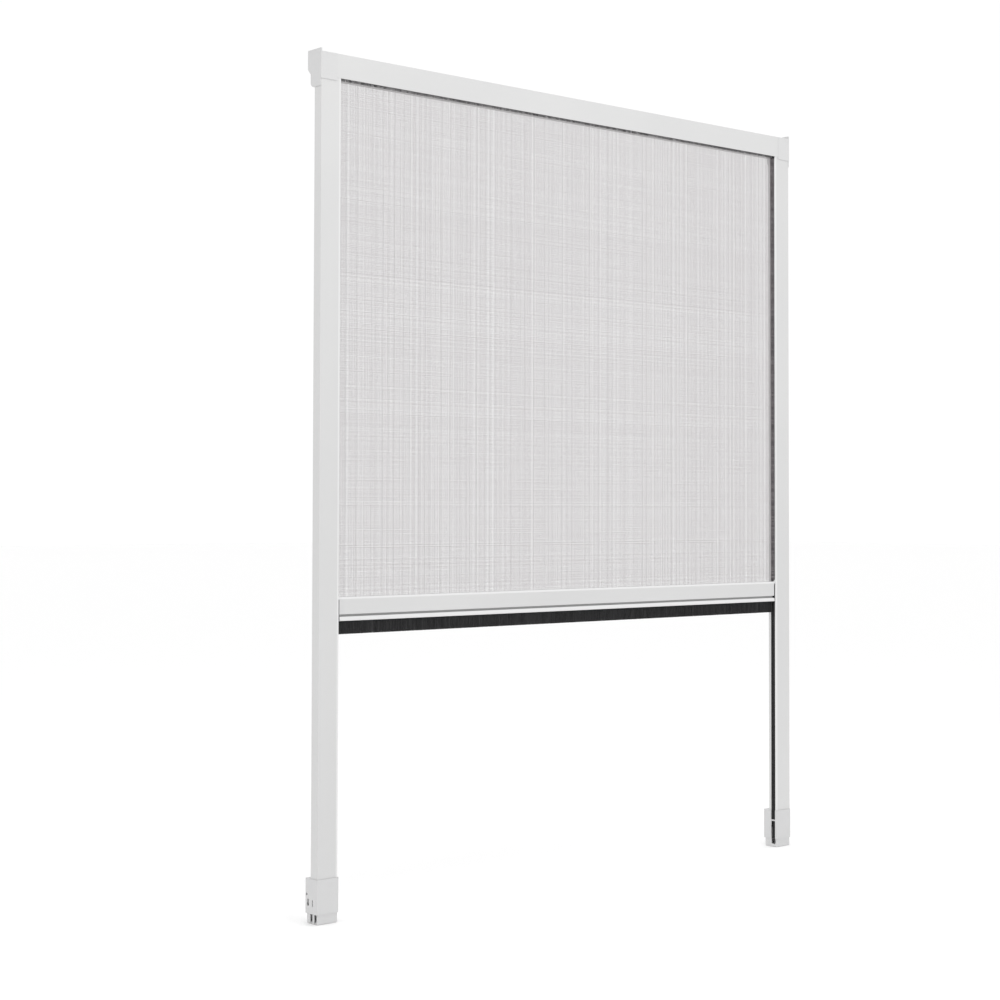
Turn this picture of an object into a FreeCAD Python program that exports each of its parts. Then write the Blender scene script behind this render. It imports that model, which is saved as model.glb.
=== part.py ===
import FreeCAD, Part
import math

# Pull-down insect screen on a spring roller: a cassette that holds the roller, two guide
# rails, a net with a pull bar at its lower edge, and two sprung feet. Millimetres, Z up,
# X along the width, the front looks along -Y. The origin is on the sill, in the middle.
# Pieces at the left end (-X) are modelled, and their twins are their mirror images.

# Overall size
OVERALL_W = 1300.0
OVERALL_H = 1600.0
CAP_D = 42.0

# Clearances
FIT = 0.1                 # a moulded part pushed on or into an extrusion
SLIP = 0.25               # parts that slide into each other
RUN = 0.3                 # parts that move past each other
SHAFT_RUN = 0.05          # radial play of a shaft in its bearing
LEAD_IN = 0.5             # widening at the mouth of a pocket that a rail is pushed into
LEAD_IN_H = 1.5

# Guide rails
RAIL_W = 46.0
RAIL_D = 21.0
RAIL_WALL = 1.4
RAIL_R = 1.0
CHANNEL_DEEP = 24.0       # from the rail's inner edge to its web
BACK_FLANGE = 6.6         # hollow flange behind the channel
BEAD_W = 5.0              # thick edge of the front flange
BEAD_T = 2.6
BEAD_R = 2.4

# Pile strips
PILE_BASE_W = 6.0
PILE_BASE_T = 1.6
PILE_W = 4.0
PILE_TIP_R = 1.0
PILE_LIP = 1.0            # lips that hold the strip's base
PILE_WALL = 2.2           # from the strip's slot to the rail's inner edge
THIN_PILE_BASE_W = 3.3
THIN_PILE_BASE_T = 1.2
THIN_PILE_W = 2.0
THIN_PILE_TIP_R = 0.5

# End caps and cassette
PROUD = 1.2               # caps and feet stand out from the rails
CAP_FRONT_W = 37.0
CAP_WALL = 2.0
CAP_EDGE_R = 1.6
CAP_LOW_R = 0.4
CHEEK_T = 2.4
CHEEK_RISE = 5.5          # cheek above the cassette's top
CHEEK_H = 70.0
CAP_BACK_H = 35.0         # straight part of the cap's back
CAP_CHAMFER_H = 10.6
CAP_NECK_D = 33.0
CAP_NECK_R = 10.0
CAP_SKIRT = 5.3           # cap's front below the cassette's underside
SPIGOT_L = 20.0
PEG = 6.0
PEG_L = 10.0
CASSETTE_H = 45.5
CASSETTE_STEP = 0.4       # cassette's skin behind the caps' skin
CASSETTE_WALL = 1.4
NET_SLOT_LIP = 5.4        # front lip of the cassette, which holds its pile strip
NET_SLOT_W = 3.0
CASSETTE_PILE_DROP = 4.5

# Net and roller
NET_BEHIND_FRONT = 5.2    # net's plane behind the rails' front
NET_T = 0.5
NET_IN_RAIL = 16.0
NET_COLUMNS = 8
NET_ROWS = 6
NET_RIB = 7.0
NET_RIDGE_W = 2.0
NET_RIDGE_T = 0.2
ROLL_ROOM = 3.2           # free space behind the full roller
NET_WOUND = 2.3           # net's plane to the tube, for the turns that are wound on
TUBE_WALL = 1.2
TUBE_PAST_NET = 4.0
PLUG_FLANGE = 2.0
PLUG_L = 30.0
SHAFT_R = 3.5
KEY_SIDE = 4.8            # square end of the fixed shaft
KEY_L = 7.0
BOSS_R = 8.0
BOSS_L = 9.0
ANCHOR_L = 16.0
RIB_COUNT = 6             # straight ribs on the plugs and the anchor
RIB_DEPTH = 1.2
COIL_ROOM = 2.8           # coil's outside to the tube's inside
COIL_WIRE_R = 1.0
COIL_PITCH = 10.8
COIL_TURNS = 10

# Pull bar
BAR_EDGE_Z = 587.0        # upper edge of the bar's front, with the screen part way down
BAR_BEHIND_FRONT = 2.6
BAR_D = 14.0
BAR_WALL = 1.4
BAR_EDGE_R = 1.0
BAR_FACE_H = 27.0
BAR_BEVEL_H = 5.0
BAR_BEVEL_D = 2.0
BAR_GROOVE_H = 4.0
BAR_GROOVE_D = 5.0
BAR_LIP_H = 8.0
BAR_LIP_OUT = 1.8         # lip's lower edge in front of the bar's front
BAR_LIP_TOP_OUT = 0.4
BAR_LIP_R = 2.0
BAR_PILE_H = 24.8
BAR_PILE_GAP = 1.9        # from the pile's end to the rail's inner edge
BAR_END_GAP = 2.5
BAR_END_W = 12.0
BAR_SPIGOT_L = 14.0
NET_SLIT = 0.8
SPLINE_R = 1.9
SPLINE_DROP = 8.5         # from the bar's top to the spline
EAR_T = 1.6
EAR_H = 4.5
EAR_RISE = 4.0
EAR_ROOT = 3.0            # length of the ear inside the bar's end
EAR_R = 0.5
SHOE_T = 2.8
SHOE_W = 12.0
SHOE_H = 14.5
SHOE_R = 1.0

# Feet
SLEEVE_TOP = 81.8
SLEEVE_BOTTOM = 18.6
SLEEVE_D = 37.0
SLEEVE_WALL = 1.4
SLEEVE_BACK_WALL = 3.0
SLEEVE_R = 1.5
SHELF_TOP = 60.6          # the rail stands on this shelf
SHELF_T = 2.5
SLIDER_WALL = 2.0
SLIDER_FLOOR = 2.4
SLIDER_R = 1.0
FRONT_POST = 1.8          # wall in front of the first groove
FRONT_GROOVE_W = 7.6
MIDDLE_POST = 5.1         # wall between the two grooves
BACK_GROOVE_W = 7.2
GROOVE_TOP = 24.0         # above this the slider's outer side is open
CHANNEL_SILL = 7.0        # lower end of the slider's channel
CHANNEL_R = 3.0
FOOT_TRAVEL = 14.0
PAD_T = 1.6
PAD_INSET = 0.6
CLIP_W = 10.0
CLIP_H = 4.0
CLIP_T = 1.8
CLIP_R = 0.2
CLIP_Z = 38.0
FOOT_SEAL_T = 4.0
FOOT_SEAL_W = 14.5
FOOT_SEAL_GAP = 0.8       # seal to the slider's walls
FOOT_SPRING_R = 5.2
FOOT_SPRING_WIRE_R = 0.7
FOOT_SPRING_TURNS = 7     # closed turns at both ends included
STUD_R = 3.4
STUD_L = 5.0
SLIT_W = 2.4              # openings in the sleeve's outer side
SLIT_L = 12.8
SLIT_Z = 31.9
SLIT_FROM_FRONT = 14.4
KEYHOLE_R = 3.4
KEYHOLE_NECK_W = 4.4
KEYHOLE_NECK_L = 9.8
KEYHOLE_Z = 35.5
KEYHOLE_FROM_FRONT = 28.2
EYE_R = 2.4
EYE_DEEP = 5.0
EYE_Z = 53.0
EYE_FROM_BACK = 4.6

# Places that follow from the sizes
CAP_OUT_X = -OVERALL_W / 2
CAP_FRONT_Y = -CAP_D / 2
CAP_BACK_Y = CAP_D / 2
CAP_IN_X = CAP_OUT_X + CAP_FRONT_W
RAIL_OUT_X = CAP_OUT_X + PROUD
RAIL_IN_X = RAIL_OUT_X + RAIL_W
RAIL_FRONT_Y = CAP_FRONT_Y + PROUD
RAIL_BACK_Y = RAIL_FRONT_Y + RAIL_D
BEAD_BACK_Y = RAIL_FRONT_Y + BEAD_T
FLANGE_FRONT_Y = RAIL_BACK_Y - BACK_FLANGE
CHANNEL_X = RAIL_IN_X - CHANNEL_DEEP
CASSETTE_TOP = OVERALL_H - CHEEK_RISE
CASSETTE_BOTTOM = CASSETTE_TOP - CASSETTE_H
RAIL_TOP = CASSETTE_BOTTOM
CHEEK_BOTTOM = OVERALL_H - CHEEK_H
CHAMFER_TOP = OVERALL_H - CAP_BACK_H
CHAMFER_BOTTOM = CHAMFER_TOP - CAP_CHAMFER_H
NECK_Y = CAP_FRONT_Y + CAP_NECK_D
CHAMFER_LEAN = math.tan(math.atan2(CAP_BACK_Y - NECK_Y, CAP_CHAMFER_H) / 2)
NET_Y = RAIL_FRONT_Y + NET_BEHIND_FRONT
NET_FRONT_Y = NET_Y - NET_T / 2
NET_BACK_Y = NET_Y + NET_T / 2
NET_END_X = RAIL_IN_X - NET_IN_RAIL
SKIN_FRONT_Y = CAP_FRONT_Y + CASSETTE_STEP
SKIN_BACK_Y = CAP_BACK_Y - CASSETTE_STEP
WRAP_R = (SKIN_BACK_Y - CASSETTE_WALL - ROLL_ROOM - NET_Y) / 2
TUBE_R = WRAP_R - NET_WOUND
COIL_R = TUBE_R - TUBE_WALL - COIL_ROOM - COIL_WIRE_R
ROLLER_Y = NET_Y + WRAP_R
ROLLER_Z = (CASSETTE_TOP + CASSETTE_BOTTOM) / 2
TUBE_END_X = NET_END_X - TUBE_PAST_NET
BAR_FRONT_Y = RAIL_FRONT_Y + BAR_BEHIND_FRONT
BAR_BACK_Y = BAR_FRONT_Y + BAR_D
BAR_TOP = BAR_EDGE_Z + BAR_BEVEL_H
BAR_FACE_BOTTOM = BAR_EDGE_Z - BAR_FACE_H
LIP_TOP = BAR_FACE_BOTTOM - BAR_GROOVE_H
LIP_BOTTOM = LIP_TOP - BAR_LIP_H
BAR_PILE_BOTTOM = LIP_BOTTOM - BAR_PILE_H
BAR_END_X = RAIL_IN_X + BAR_END_GAP
BAR_CUT_X = BAR_END_X + BAR_END_W
EAR_LOW = BAR_TOP - EAR_H
SLEEVE_IN_X = RAIL_IN_X + PROUD
SLEEVE_BACK_Y = CAP_FRONT_Y + SLEEVE_D
SHEATH_X0 = CAP_OUT_X + SLEEVE_WALL
SHEATH_X1 = SLEEVE_IN_X - SLEEVE_WALL
SHEATH_Y0 = CAP_FRONT_Y + SLEEVE_WALL
SHEATH_Y1 = SLEEVE_BACK_Y - SLEEVE_BACK_WALL
SHELF_BOTTOM = SHELF_TOP - SHELF_T
FOOT_X = (CAP_OUT_X + SLEEVE_IN_X) / 2
SLIDER_X0 = SHEATH_X0 + SLIP
SLIDER_X1 = SHEATH_X1 - SLIP
SLIDER_Y0 = SHEATH_Y0 + SLIP
SLIDER_Y1 = SHEATH_Y1 - SLIP
SLIDER_TOP = SHELF_BOTTOM - FOOT_TRAVEL - RUN
SLIDER_INSIDE = PAD_T + SLIDER_FLOOR
FOOT_SPRING_Y = SLIDER_Y1 - SLIDER_WALL - RUN - FOOT_SPRING_R - FOOT_SPRING_WIRE_R


def vector(x, y, z):
    return FreeCAD.Vector(x, y, z)


def outline(corners, place):
    """Face inside the corners (a, b, radius). place(a, b) gives the point in space."""
    pieces = []
    count = len(corners)
    for index, (a, b, radius) in enumerate(corners):
        corner = vector(a, b, 0)
        before = vector(*corners[index - 1][:2], 0) - corner
        after = vector(*corners[(index + 1) % count][:2], 0) - corner
        before.normalize()
        after.normalize()
        if radius == 0:
            pieces.append([corner])
            continue
        half_angle = before.getAngle(after) / 2
        reach = radius / math.tan(half_angle)
        middle = before + after
        middle.normalize()
        crown = corner + middle * (radius / math.sin(half_angle) - radius)
        pieces.append([corner + before * reach, crown, corner + after * reach])
    edges = []
    for index, piece in enumerate(pieces):
        points = [place(point.x, point.y) for point in piece]
        if len(points) == 3:
            edges.append(Part.Arc(*points).toShape())
        following = pieces[(index + 1) % count][0]
        start, end = points[-1], place(following.x, following.y)
        if start.distanceToPoint(end) > 1e-6:
            edges.append(Part.LineSegment(start, end).toShape())
    return Part.Face(Part.Wire(edges))


def along_x(corners, x0, x1):
    """Solid with a (y, z) section, from x0 to x1."""
    face = outline(corners, lambda y, z: vector(x0, y, z))
    return face.extrude(vector(x1 - x0, 0, 0))


def along_y(corners, y0, y1):
    """Solid with an (x, z) section, from y0 to y1."""
    face = outline(corners, lambda x, z: vector(x, y0, z))
    return face.extrude(vector(0, y1 - y0, 0))


def along_z(corners, z0, z1):
    """Solid with an (x, y) section, from z0 to z1."""
    face = outline(corners, lambda x, y: vector(x, y, z0))
    return face.extrude(vector(0, 0, z1 - z0))


def rectangle(a0, a1, b0, b1, radius=0):
    return [(a0, b0, radius), (a1, b0, radius), (a1, b1, radius), (a0, b1, radius)]


def block(x0, x1, y0, y1, z0, z1):
    return along_z(rectangle(x0, x1, y0, y1), z0, z1)


def rod(radius, x0, x1, y=ROLLER_Y, z=ROLLER_Z):
    """Round rod along X, on the roller's axis if no other place is given."""
    return Part.makeCylinder(radius, x1 - x0, vector(x0, y, z), vector(1, 0, 0))


def ribbed_rod(radius, x0, x1):
    """Rod on the roller's axis with straight ribs."""
    corners = []
    for index in range(2 * RIB_COUNT):
        angle = math.pi * index / RIB_COUNT
        reach = radius - RIB_DEPTH * (index % 2)
        corners.append((ROLLER_Y + reach * math.cos(angle), ROLLER_Z + reach * math.sin(angle), 0))
    return along_x(corners, x0, x1)


def polygon(points):
    return Part.Face(Part.makePolygon(points + points[:1]))


def coil(radius, wire_radius, rises, sides, steps=8):
    """Coil of flat-sided wire that climbs along Z from 0, by one rise in each turn."""
    centres = []
    height = 0.0
    for step in range(len(rises) * steps + 1):
        angle = 2 * math.pi * step / steps
        centres.append(vector(radius * math.cos(angle), radius * math.sin(angle), height))
        height += rises[min(step // steps, len(rises) - 1)] / steps
    stretches = [end - start for start, end in zip(centres, centres[1:])]
    for stretch in stretches:
        stretch.normalize()
    outward = stretches[0].cross(vector(0, 0, 1))
    outward.normalize()
    upward = outward.cross(stretches[0])
    ring = []
    for side in range(sides):
        angle = 2 * math.pi * side / sides
        spoke = outward * math.sin(angle) - upward * math.cos(angle)
        ring.append(centres[0] + spoke * wire_radius)
    faces = [polygon(ring)]
    for index, stretch in enumerate(stretches):
        following = stretches[min(index + 1, len(stretches) - 1)]
        joint = stretch + following
        centre = centres[index + 1]
        next_ring = [point + stretch * ((centre - point).dot(joint) / stretch.dot(joint))
                     for point in ring]
        for side in range(sides):
            faces.append(polygon([ring[side - 1], ring[side], next_ring[side], next_ring[side - 1]]))
        ring = next_ring
    faces.append(polygon(ring))
    solid = Part.Solid(Part.Shell(faces))
    if solid.Volume < 0:
        solid.reverse()
    return solid


def joined(first, *others):
    return first.fuse(list(others)).removeSplitter()


def mirrored(shape):
    """Twin of a left piece at the right end."""
    return shape.mirror(vector(0, 0, 0), vector(1, 0, 0))


def write(name, shape):
    solids = shape.Solids
    if len(solids) != 1 or not solids[0].isValid():
        raise RuntimeError(f"{name}: {len(solids)} solids")
    solids[0].exportStep(f"parts/{name}.step")


def write_pair(name, shape):
    write(f"{name}_left", shape)
    write(f"{name}_right", mirrored(shape))


# Guide rail: a closed chamber outside, a channel for the net and the bar's shoe inside,
# a beaded front flange and a hollow back flange with the slot of the pile strip.
PILE_SLOT_X1 = RAIL_IN_X - PILE_WALL
PILE_SLOT_X0 = PILE_SLOT_X1 - PILE_BASE_W - 2 * FIT
PILE_MID_X = (PILE_SLOT_X0 + PILE_SLOT_X1) / 2
PILE_SEAT_Y = FLANGE_FRONT_Y + PILE_LIP


def rail():
    body = along_z(
        [(RAIL_OUT_X, RAIL_FRONT_Y, RAIL_R), (RAIL_IN_X, RAIL_FRONT_Y, BEAD_R),
         (RAIL_IN_X, RAIL_BACK_Y, RAIL_R), (RAIL_OUT_X, RAIL_BACK_Y, RAIL_R)],
        SHELF_TOP, RAIL_TOP)
    chamber = rectangle(RAIL_OUT_X + RAIL_WALL, CHANNEL_X - RAIL_WALL,
                        RAIL_FRONT_Y + RAIL_WALL, RAIL_BACK_Y - RAIL_WALL)
    channel = rectangle(CHANNEL_X, RAIL_IN_X - BEAD_W, RAIL_FRONT_Y + RAIL_WALL, FLANGE_FRONT_Y)
    mouth = rectangle(RAIL_IN_X - BEAD_W, RAIL_IN_X, BEAD_BACK_Y, FLANGE_FRONT_Y)
    back_chamber = rectangle(CHANNEL_X, PILE_SLOT_X0 - RAIL_WALL,
                             FLANGE_FRONT_Y + RAIL_WALL, RAIL_BACK_Y - RAIL_WALL)
    slot = rectangle(PILE_SLOT_X0, PILE_SLOT_X1, PILE_SEAT_Y, PILE_SEAT_Y + PILE_BASE_T + FIT)
    slot_mouth = rectangle(PILE_MID_X - PILE_W / 2 - FIT, PILE_MID_X + PILE_W / 2 + FIT,
                           FLANGE_FRONT_Y, PILE_SEAT_Y)
    for hollow in (chamber, channel, mouth, back_chamber, slot, slot_mouth):
        body = body.cut(along_z(hollow, SHELF_TOP, RAIL_TOP))
    return body.removeSplitter()


def pile_section(middle, seat, back, tip, base_w, pile_w, tip_r):
    """Section of a pile strip: its base from seat to back, its pile from seat to tip."""
    half_base, half_pile = base_w / 2, pile_w / 2
    return [
        (middle - half_base, back, 0), (middle + half_base, back, 0),
        (middle + half_base, seat, 0), (middle + half_pile, seat, 0),
        (middle + half_pile, tip, tip_r), (middle - half_pile, tip, tip_r),
        (middle - half_pile, seat, 0), (middle - half_base, seat, 0)]


def rail_brush():
    """Strip in the back flange. Its pile closes the channel as far as the net."""
    section = pile_section(PILE_MID_X, PILE_SEAT_Y, PILE_SEAT_Y + PILE_BASE_T,
                           NET_BACK_Y + RUN, PILE_BASE_W, PILE_W, PILE_TIP_R)
    return along_z(section, SHELF_TOP + FIT, RAIL_TOP - FIT)


# Cassette: one hollow extrusion round the roller. Its front lip holds a thin pile strip,
# and the net leaves through the slot behind that lip.
LIP_BACK_Y = SKIN_FRONT_Y + NET_SLOT_LIP
THIN_SLOT_Z = CASSETTE_BOTTOM + PILE_LIP
THIN_SLOT_TOP = THIN_SLOT_Z + THIN_PILE_BASE_T + FIT
THIN_MID_Y = (SKIN_FRONT_Y + LIP_BACK_Y) / 2


def cassette_section(inset):
    """Outer line of the cassette, or the line of its hollow at the given wall."""
    radius = max(CAP_EDGE_R - inset, 0)
    lean = inset * CHAMFER_LEAN
    return [
        (SKIN_FRONT_Y + inset, CASSETTE_BOTTOM + inset, radius / 2),
        (SKIN_FRONT_Y + inset, CASSETTE_TOP - inset, radius),
        (SKIN_BACK_Y - inset, CASSETTE_TOP - inset, radius),
        (SKIN_BACK_Y - inset, CHAMFER_TOP + lean, radius),
        (NECK_Y - CASSETTE_STEP - inset, CHAMFER_BOTTOM + lean, radius),
        (NECK_Y - CASSETTE_STEP - inset, CASSETTE_BOTTOM + inset, radius / 2)]


def cassette():
    end = -CAP_IN_X
    body = along_x(cassette_section(0), -end, end)
    hollow = along_x(cassette_section(CASSETTE_WALL), -end, end)
    hollow = hollow.cut(block(-end, end, SKIN_FRONT_Y, LIP_BACK_Y,
                              CASSETTE_BOTTOM, THIN_SLOT_TOP + RAIL_WALL))
    net_slot = block(-end, end, LIP_BACK_Y, LIP_BACK_Y + NET_SLOT_W,
                     CASSETTE_BOTTOM, CASSETTE_BOTTOM + CASSETTE_WALL)
    half_base, half_pile = THIN_PILE_BASE_W / 2 + FIT, THIN_PILE_W / 2 + FIT
    strip_slot = block(-end, end, THIN_MID_Y - half_base, THIN_MID_Y + half_base,
                       THIN_SLOT_Z, THIN_SLOT_TOP)
    strip_mouth = block(-end, end, THIN_MID_Y - half_pile, THIN_MID_Y + half_pile,
                        CASSETTE_BOTTOM, THIN_SLOT_Z)
    return body.cut([hollow, net_slot, strip_slot, strip_mouth]).removeSplitter()


def cassette_brush():
    """Thin strip in the cassette's lip, between the rails."""
    end = -RAIL_IN_X - RUN
    section = pile_section(THIN_MID_Y, THIN_SLOT_Z, THIN_SLOT_Z + THIN_PILE_BASE_T,
                           CASSETTE_BOTTOM - CASSETTE_PILE_DROP,
                           THIN_PILE_BASE_W, THIN_PILE_W, THIN_PILE_TIP_R)
    return along_x(section, -end, end)


# End cap: a moulded shell that closes the cassette, carries the roller's shaft on a boss,
# wraps round the top of the rail and plugs into its chamber.
BOSS_X = CAP_OUT_X + CHEEK_T
BOSS_END_X = BOSS_X + BOSS_L


def cap_section(top, skirt):
    """Side view of the cap. skirt is the lower end of its front."""
    return [
        (CAP_FRONT_Y, skirt, CAP_LOW_R), (CAP_FRONT_Y, top, CAP_EDGE_R),
        (CAP_BACK_Y, top, CAP_EDGE_R), (CAP_BACK_Y, CHAMFER_TOP, CAP_EDGE_R),
        (NECK_Y, CHAMFER_BOTTOM, CAP_EDGE_R), (NECK_Y, CHEEK_BOTTOM, CAP_NECK_R),
        (RAIL_FRONT_Y - FIT, CHEEK_BOTTOM, CAP_LOW_R), (RAIL_FRONT_Y - FIT, skirt, 0)]


def end_cap():
    skirt = CASSETTE_BOTTOM - CAP_SKIRT
    floor = RAIL_TOP + CAP_WALL
    body = joined(along_x(cap_section(OVERALL_H, skirt), CAP_OUT_X, BOSS_X),
                  along_x(cap_section(CASSETTE_TOP, skirt), CAP_OUT_X, CAP_IN_X))
    lean = CAP_WALL * CHAMFER_LEAN
    hollow = along_x(
        [(CAP_FRONT_Y + CAP_WALL, floor, 0), (CAP_FRONT_Y + CAP_WALL, CASSETTE_TOP - CAP_WALL, 0),
         (CAP_BACK_Y - CAP_WALL, CASSETTE_TOP - CAP_WALL, 0),
         (CAP_BACK_Y - CAP_WALL, CHAMFER_TOP + lean, 0),
         (NECK_Y - CAP_WALL, CHAMFER_BOTTOM + lean, 0), (NECK_Y - CAP_WALL, floor, 0)],
        BOSS_X, CAP_IN_X)
    pocket_x, pocket_y = RAIL_OUT_X - FIT, RAIL_FRONT_Y - FIT
    rail_pocket = block(pocket_x, CAP_IN_X, pocket_y, RAIL_BACK_Y + FIT, CHEEK_BOTTOM, RAIL_TOP)
    front_lead = block(pocket_x, CAP_IN_X, pocket_y - LEAD_IN, pocket_y, skirt, skirt + LEAD_IN_H)
    side_lead = block(pocket_x - LEAD_IN, pocket_x, pocket_y, RAIL_BACK_Y + FIT,
                      CHEEK_BOTTOM, CHEEK_BOTTOM + LEAD_IN_H)
    net_way = block(CHANNEL_X, CAP_IN_X, CAP_FRONT_Y + CAP_WALL, LIP_BACK_Y + NET_SLOT_W,
                    RAIL_TOP, floor)
    body = body.cut([hollow, rail_pocket, front_lead, side_lead, net_way])
    spigot_x0 = RAIL_OUT_X + RAIL_WALL + SLIP
    spigot_x1 = CHANNEL_X - RAIL_WALL - SLIP
    spigot_y0 = RAIL_FRONT_Y + RAIL_WALL + SLIP
    spigot_y1 = RAIL_BACK_Y - RAIL_WALL - SLIP
    spigot = block(spigot_x0, spigot_x1, spigot_y0, spigot_y1, RAIL_TOP - SPIGOT_L, floor)
    spigot_core = block(spigot_x0 + CAP_WALL, spigot_x1 - CAP_WALL, spigot_y0 + CAP_WALL,
                        spigot_y1 - CAP_WALL, RAIL_TOP - SPIGOT_L, RAIL_TOP)
    pegs = []
    peg_top = CASSETTE_TOP - CASSETTE_WALL - FIT
    for side in (-1, 1):
        outer_y = side * (SKIN_BACK_Y - CASSETTE_WALL - FIT)
        inner_y = outer_y - side * PEG
        pegs.append(block(CAP_IN_X - PEG, CAP_IN_X + PEG_L, min(outer_y, inner_y),
                          max(outer_y, inner_y), peg_top - PEG, peg_top))
    boss = rod(BOSS_R, BOSS_X, BOSS_END_X)
    return joined(body, spigot.cut(spigot_core), boss, *pegs)


def key(side, x0, x1):
    """Square bar on the roller's axis."""
    half = side / 2
    return block(x0, x1, ROLLER_Y - half, ROLLER_Y + half, ROLLER_Z - half, ROLLER_Z + half)


def end_cap_left():
    return end_cap().cut(key(KEY_SIDE + 2 * FIT, BOSS_END_X - KEY_L - FIT, BOSS_END_X))


def end_cap_right():
    bore = rod(SHAFT_R + SHAFT_RUN, BOSS_END_X - KEY_L - FIT, BOSS_END_X)
    return mirrored(end_cap().cut(bore))


# Roller: an aluminium tube between two plugs. The left plug turns on the fixed shaft, and
# the coil joins it to the anchor at the shaft's end. The right plug turns with its pin.
PLUG_IN_X = TUBE_END_X + PLUG_L
COIL_END_X = PLUG_IN_X + COIL_PITCH * COIL_TURNS + 2 * COIL_WIRE_R
ANCHOR_X = COIL_END_X + RUN


def tube(outer, inner, end):
    """Tube on the roller's axis, from end to end of the screen."""
    return rod(outer, end, -end).cut(rod(inner, end, -end))


def roller_tube():
    return tube(TUBE_R, TUBE_R - TUBE_WALL, TUBE_END_X)


def net_roll():
    """Turns of net on the tube, wound tight."""
    return tube(WRAP_R - NET_T / 2 - RUN, TUBE_R, NET_END_X)


def plug(bore):
    flange = rod(TUBE_R, TUBE_END_X - PLUG_FLANGE, TUBE_END_X)
    stem = ribbed_rod(TUBE_R - TUBE_WALL - FIT, TUBE_END_X, PLUG_IN_X)
    return joined(flange, stem).cut(rod(bore, TUBE_END_X - PLUG_FLANGE, PLUG_IN_X))


def spring_shaft():
    stem = rod(SHAFT_R, BOSS_END_X, ANCHOR_X + ANCHOR_L)
    return joined(stem, key(KEY_SIDE, BOSS_END_X - KEY_L, BOSS_END_X + FIT))


def spring_anchor():
    body = ribbed_rod(COIL_R + COIL_WIRE_R, ANCHOR_X, ANCHOR_X + ANCHOR_L)
    return body.cut(rod(SHAFT_R, ANCHOR_X, ANCHOR_X + ANCHOR_L))


def torsion_spring():
    """Coil between the left plug and the anchor, with a few wide turns for its many."""
    spring = coil(COIL_R, COIL_WIRE_R, [COIL_PITCH] * COIL_TURNS, sides=4)
    spring.rotate(vector(0, 0, 0), vector(0, 1, 0), 90)
    spring.translate(vector(PLUG_IN_X + COIL_WIRE_R, ROLLER_Y, ROLLER_Z))
    return spring


def roller_pin():
    return rod(SHAFT_R, -PLUG_IN_X, -(BOSS_END_X - KEY_L))


# Net: one thin wall with ridges and a grid of gaps. It hangs from the roller's front,
# runs in the rails' channels and ends in the slit of the bar.
SPLINE_Z = BAR_TOP - SPLINE_DROP
SPLINE_GROOVE_R = SPLINE_R + FIT
SPLINE_Y = BAR_FRONT_Y + BAR_WALL + SPLINE_GROOVE_R


def insect_net():
    low = BAR_TOP + RUN
    net = block(NET_END_X, -NET_END_X, NET_FRONT_Y, NET_BACK_Y, low, ROLLER_Z)
    tail = block(BAR_CUT_X + FIT, -BAR_CUT_X - FIT, NET_FRONT_Y, NET_BACK_Y,
                 SPLINE_Z + SPLINE_R / 2, low)
    pitch_x = 2 * -RAIL_IN_X / NET_COLUMNS
    pitch_z = (CASSETTE_BOTTOM - low) / NET_ROWS
    half_rib, half_ridge = NET_RIB / 2, NET_RIDGE_W / 2
    ridges = []
    gaps = []
    for column in range(NET_COLUMNS):
        x0 = RAIL_IN_X + column * pitch_x
        if column:
            ridges.append(block(x0 - half_ridge, x0 + half_ridge,
                                NET_FRONT_Y - NET_RIDGE_T, NET_FRONT_Y, low, ROLLER_Z))
        for row in range(NET_ROWS):
            z0 = low + row * pitch_z
            gaps.append(block(x0 + half_rib, x0 + pitch_x - half_rib, NET_FRONT_Y, NET_BACK_Y,
                              z0 + half_rib, z0 + pitch_z - half_rib))
    return joined(net, tail, *ridges).cut([net_spline(), *gaps])


def net_spline():
    """Cord that locks the net's lower edge in the bar."""
    return rod(SPLINE_R, BAR_CUT_X + FIT, -BAR_CUT_X - FIT, SPLINE_Y, SPLINE_Z + FIT)


# Pull bar: a hollow extrusion with a bevelled top, a groove and a finger lip in front, a
# slit with the round groove of the net's spline above, and a pile strip below.
GROOVE_BACK_Y = BAR_FRONT_Y + BAR_GROOVE_D
UPPER_WEB = SPLINE_Z - SPLINE_GROOVE_R - BAR_WALL
LOWER_WEB = BAR_FACE_BOTTOM + BAR_WALL
MAIN_CHAMBER = (BAR_FRONT_Y + BAR_WALL, BAR_BACK_Y - BAR_WALL, LOWER_WEB, UPPER_WEB)
BAR_PILE_Y = (GROOVE_BACK_Y + BAR_BACK_Y) / 2
BAR_STRIP_Z = LIP_BOTTOM + PILE_LIP
BAR_STRIP_TOP = BAR_STRIP_Z + PILE_BASE_T + FIT


def bar_section():
    return [
        (BAR_BACK_Y, LIP_BOTTOM, BAR_EDGE_R), (BAR_BACK_Y, BAR_TOP, BAR_EDGE_R),
        (BAR_FRONT_Y + BAR_BEVEL_D, BAR_TOP, 0), (BAR_FRONT_Y, BAR_EDGE_Z, BAR_EDGE_R),
        (BAR_FRONT_Y, BAR_FACE_BOTTOM, BAR_EDGE_R), (GROOVE_BACK_Y, BAR_FACE_BOTTOM, 0),
        (GROOVE_BACK_Y, LIP_TOP, 0), (BAR_FRONT_Y - BAR_LIP_TOP_OUT, LIP_TOP, BAR_LIP_R),
        (BAR_FRONT_Y - BAR_LIP_OUT, LIP_BOTTOM, BAR_LIP_R)]


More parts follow.
